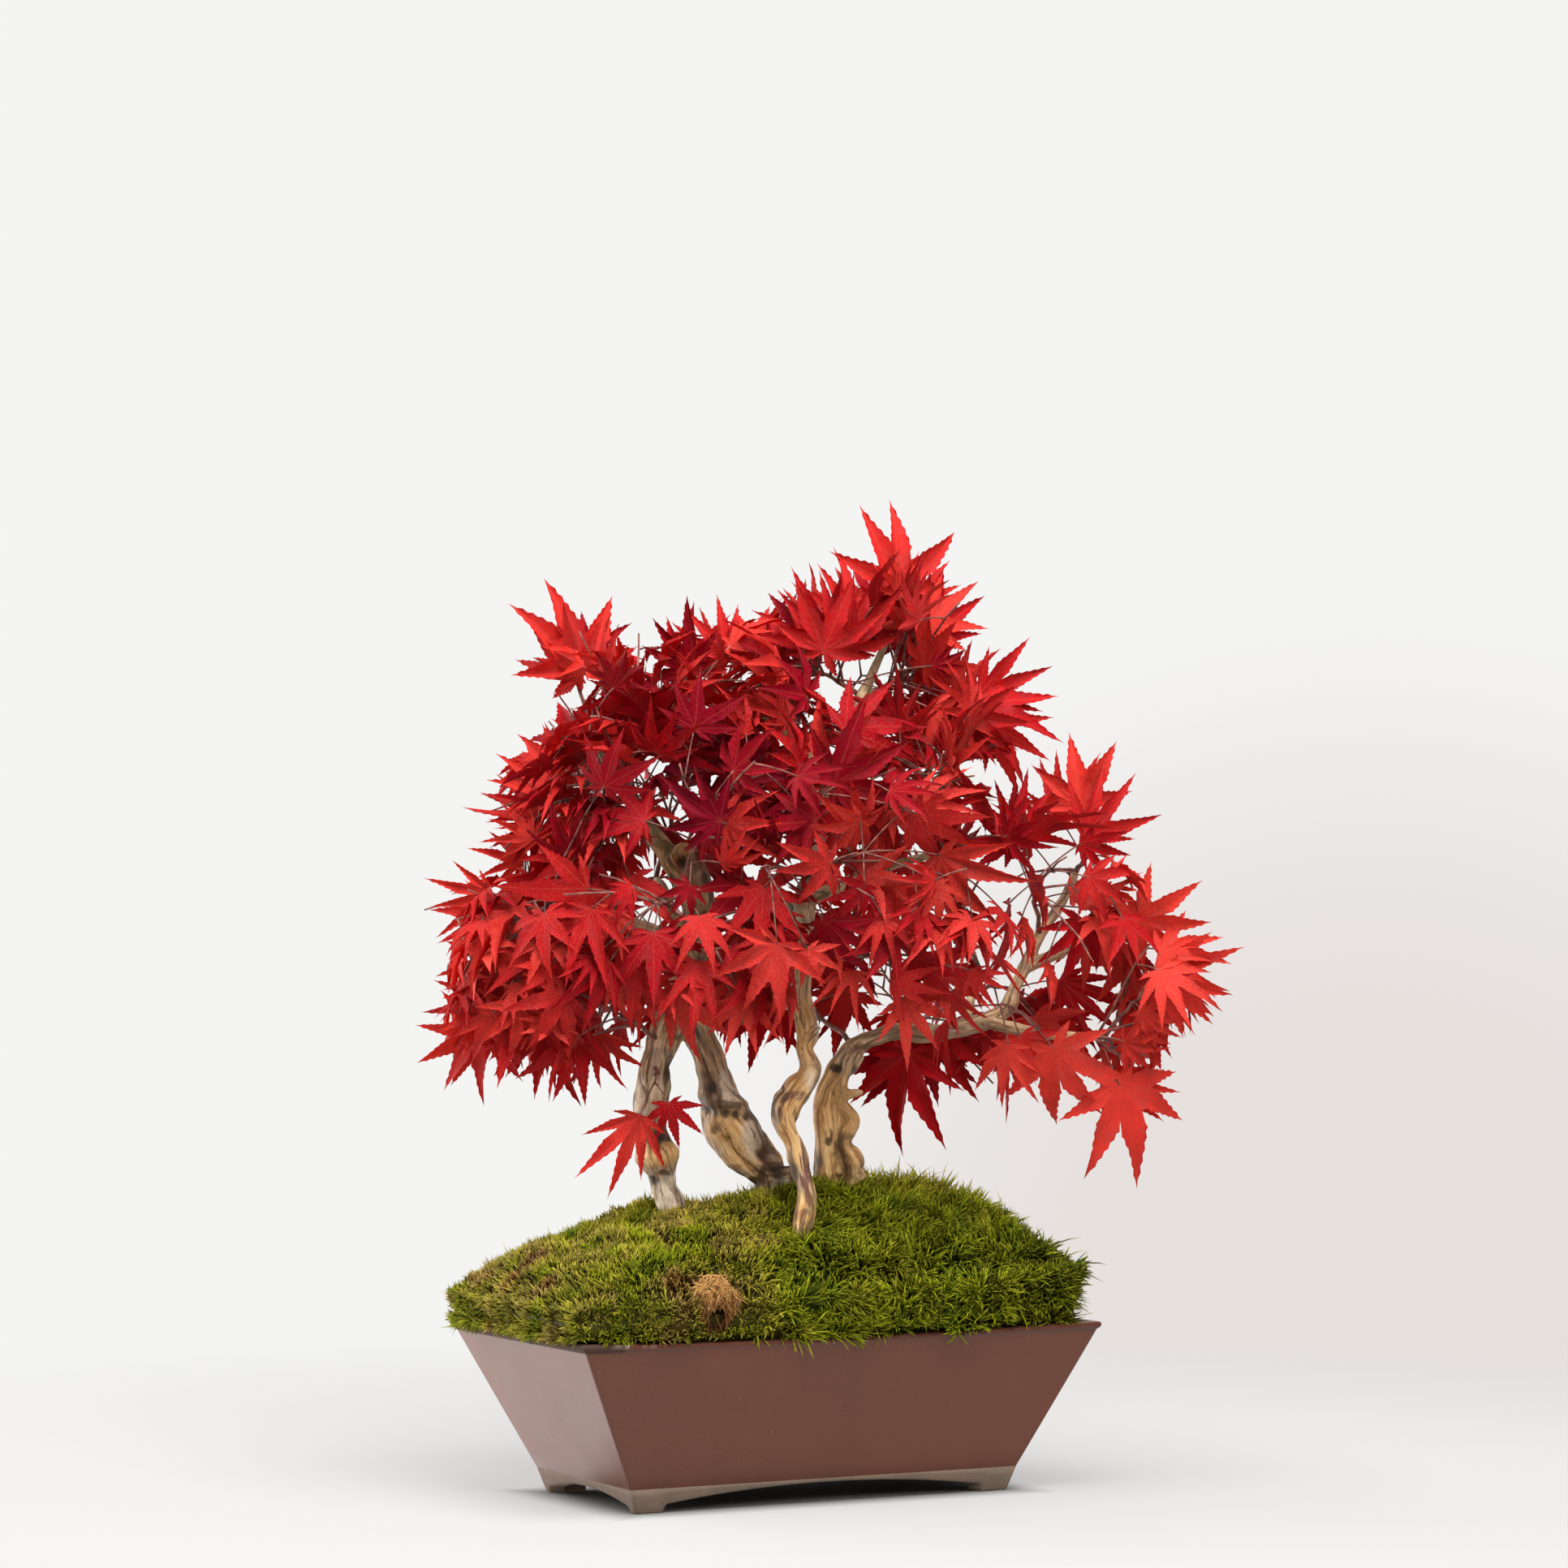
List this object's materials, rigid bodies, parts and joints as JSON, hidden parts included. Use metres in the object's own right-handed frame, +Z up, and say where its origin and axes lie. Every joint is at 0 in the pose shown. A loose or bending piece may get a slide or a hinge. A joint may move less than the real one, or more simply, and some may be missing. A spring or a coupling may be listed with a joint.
{
  "type": "potted bonsai maple",
  "caption": "Red maple bonsai: weathered, twisted trunks in a moss mound with lobed leaf sprays, in a flared rectangular brown glazed pot on low feet.",
  "frame": {"origin": "under the middle of the whole object's box, on the floor that the pot's feet stand on", "axes": "+Z up the tree, +X along the pot's length, +Y from the pot's front to its back"},
  "size_m": [0.4112, 0.2944, 0.5254],
  "materials": {
    "glazed_clay": "brown glazed stoneware, satin walls and glossy lip",
    "bare_clay": "bare matte fired clay of the foot ring",
    "drain_mesh": "dark moulded mesh",
    "soil": "loose granular soil",
    "moss_olive": "dry olive sheet moss, fine upright blades",
    "moss_green": "bright green cushion moss, dense tufts",
    "dried_moss": "brown curled dry moss",
    "driftwood": "weathered, grained and knotted bare wood",
    "maple_leaf": "thin matte red leaf, translucent, with a dusty grain"
  },
  "bodies": {
    "root": {"pot": "glazed_clay", "pot_foot_ring": "bare_clay", "drain_mesh_left": "drain_mesh", "drain_mesh_right": "drain_mesh", "soil": "soil", "moss_left": "moss_olive", "moss_front_left": "moss_olive", "moss_front_centre": "moss_green", "moss_front_right": "moss_green", "moss_back_left": "moss_olive", "moss_back_centre": "moss_olive", "moss_back_right": "moss_green", "dried_moss_clump": "dried_moss", "trunk_arched": "driftwood", "trunk_centre": "driftwood", "trunk_right": "driftwood", "leaf_spray_01": "maple_leaf", "leaf_spray_02": "maple_leaf", "leaf_spray_03": "maple_leaf", "leaf_spray_04": "maple_leaf", "leaf_spray_05": "maple_leaf", "leaf_spray_06": "maple_leaf", "leaf_spray_07": "maple_leaf", "leaf_spray_08": "maple_leaf", "leaf_spray_09": "maple_leaf", "leaf_spray_10": "maple_leaf", "leaf_spray_11": "maple_leaf", "leaf_spray_12": "maple_leaf", "leaf_spray_13": "maple_leaf", "leaf_spray_14": "maple_leaf", "leaf_spray_15": "maple_leaf", "leaf_spray_16": "maple_leaf", "leaf_spray_17": "maple_leaf", "leaf_spray_18": "maple_leaf", "leaf_spray_19": "maple_leaf", "leaf_spray_20": "maple_leaf", "leaf_spray_21": "maple_leaf", "leaf_spray_22": "maple_leaf", "leaf_spray_23": "maple_leaf", "leaf_spray_24": "maple_leaf", "leaf_spray_25": "maple_leaf", "leaf_spray_26": "maple_leaf", "leaf_spray_27": "maple_leaf", "leaf_spray_28": "maple_leaf", "leaf_spray_29": "maple_leaf", "leaf_spray_30": "maple_leaf", "leaf_spray_31": "maple_leaf", "leaf_spray_32": "maple_leaf", "leaf_spray_33": "maple_leaf", "leaf_spray_34": "maple_leaf", "leaf_spray_35": "maple_leaf", "leaf_spray_36": "maple_leaf", "leaf_spray_37": "maple_leaf", "leaf_spray_38": "maple_leaf", "leaf_spray_39": "maple_leaf", "leaf_spray_40": "maple_leaf", "leaf_spray_41": "maple_leaf", "leaf_spray_42": "maple_leaf", "leaf_spray_43": "maple_leaf", "leaf_spray_44": "maple_leaf"}
  },
  "joints": []
}
